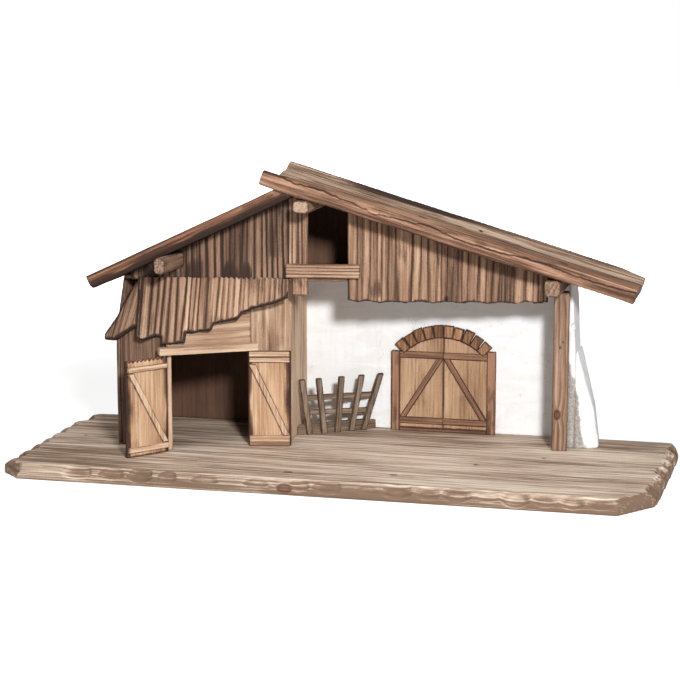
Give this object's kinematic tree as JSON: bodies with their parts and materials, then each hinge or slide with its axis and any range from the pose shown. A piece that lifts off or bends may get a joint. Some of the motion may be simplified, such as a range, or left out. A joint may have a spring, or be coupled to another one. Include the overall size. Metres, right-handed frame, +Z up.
{
  "type": "wooden nativity stable",
  "caption": "Wooden nativity stable with a flamed plank roof, a stable room with two swinging door leaves, a loft opening and an open porch for figures.",
  "frame": {"origin": "centre of the bounding box at the underside of the base board", "axes": "+X to the viewer's right along the base, +Y from the open front to the rear wall, +Z up"},
  "size_m": [0.709, 0.274, 0.329],
  "materials": {
    "base_pine": "rough sawn, matt",
    "plaster": "rough brushed plaster",
    "wall_wood": "raw, matt",
    "light_wood": "raw, matt",
    "pin_steel": "plain wire",
    "door_wood": "raw, lightly scorched",
    "burnt_wood": "flamed, matt",
    "gable_wood": "brushed, lightly scorched",
    "beam_wood": "hewn, scorched",
    "roof_wood": "hewn, scorched edges",
    "barn_wood": "raw, matt",
    "barn_dark_wood": "raw, matt",
    "rack_wood": "weathered, matt"
  },
  "bodies": {
    "stable": {"base_board": "base_pine", "rear_wall": "plaster", "stable_back_wall": "wall_wood", "upper_back_gable": "wall_wood", "right_wall": "plaster", "buttress": "plaster", "stable_left_wall": "wall_wood", "stable_right_wall": "wall_wood", "stable_left_panel": "wall_wood", "door_jamb": "light_wood", "over_door_panel": "wall_wood", "right_pillar_board": "light_wood", "door_lintel": "light_wood", "door_pins": "pin_steel", "loft_floor": "wall_wood", "left_gable_boards": "burnt_wood", "loft_jamb_boards": "light_wood", "right_gable_inner": "gable_wood", "right_gable_outer": "gable_wood", "loft_sill": "gable_wood", "sill_block": "gable_wood", "front_apron": "gable_wood", "side_apron": "gable_wood", "corner_post": "beam_wood", "left_purlin": "beam_wood", "ridge_purlin": "beam_wood", "right_purlin": "beam_wood", "left_roof_front_plank": "roof_wood", "left_roof_rear_plank": "roof_wood", "right_roof_slab": "roof_wood", "right_roof_dished_plank": "roof_wood", "right_roof_rear_plank": "roof_wood", "barn_left_leaf": "barn_wood", "barn_right_leaf": "barn_wood", "barn_left_rails": "barn_dark_wood", "barn_right_rails": "barn_dark_wood", "barn_left_brace": "barn_dark_wood", "barn_right_brace": "barn_dark_wood", "barn_left_post": "barn_dark_wood", "barn_right_post": "barn_dark_wood", "barn_threshold": "barn_dark_wood", "arch_blocks": "barn_wood", "rack_pickets": "rack_wood", "rack_rails": "rack_wood", "rack_foot_block": "rack_wood"},
    "left_door": {"left_door_board": "door_wood", "left_door_battens": "door_wood", "left_door_brace": "door_wood"},
    "right_door": {"right_door_board": "door_wood", "right_door_battens": "door_wood", "right_door_brace": "door_wood"}
  },
  "joints": [
    {"name": "left_door_hinge", "type": "hinge", "parent": "stable", "child": "left_door", "pos_m": [-0.19223, -0.04235, 0.07], "axis": [0, 0, 1], "range_deg": [-18, 160]},
    {"name": "right_door_hinge", "type": "hinge", "parent": "stable", "child": "right_door", "pos_m": [-0.11013, 0.00855, 0.07], "axis": [0, 0, 1], "range_deg": [-162, 12]}
  ]
}
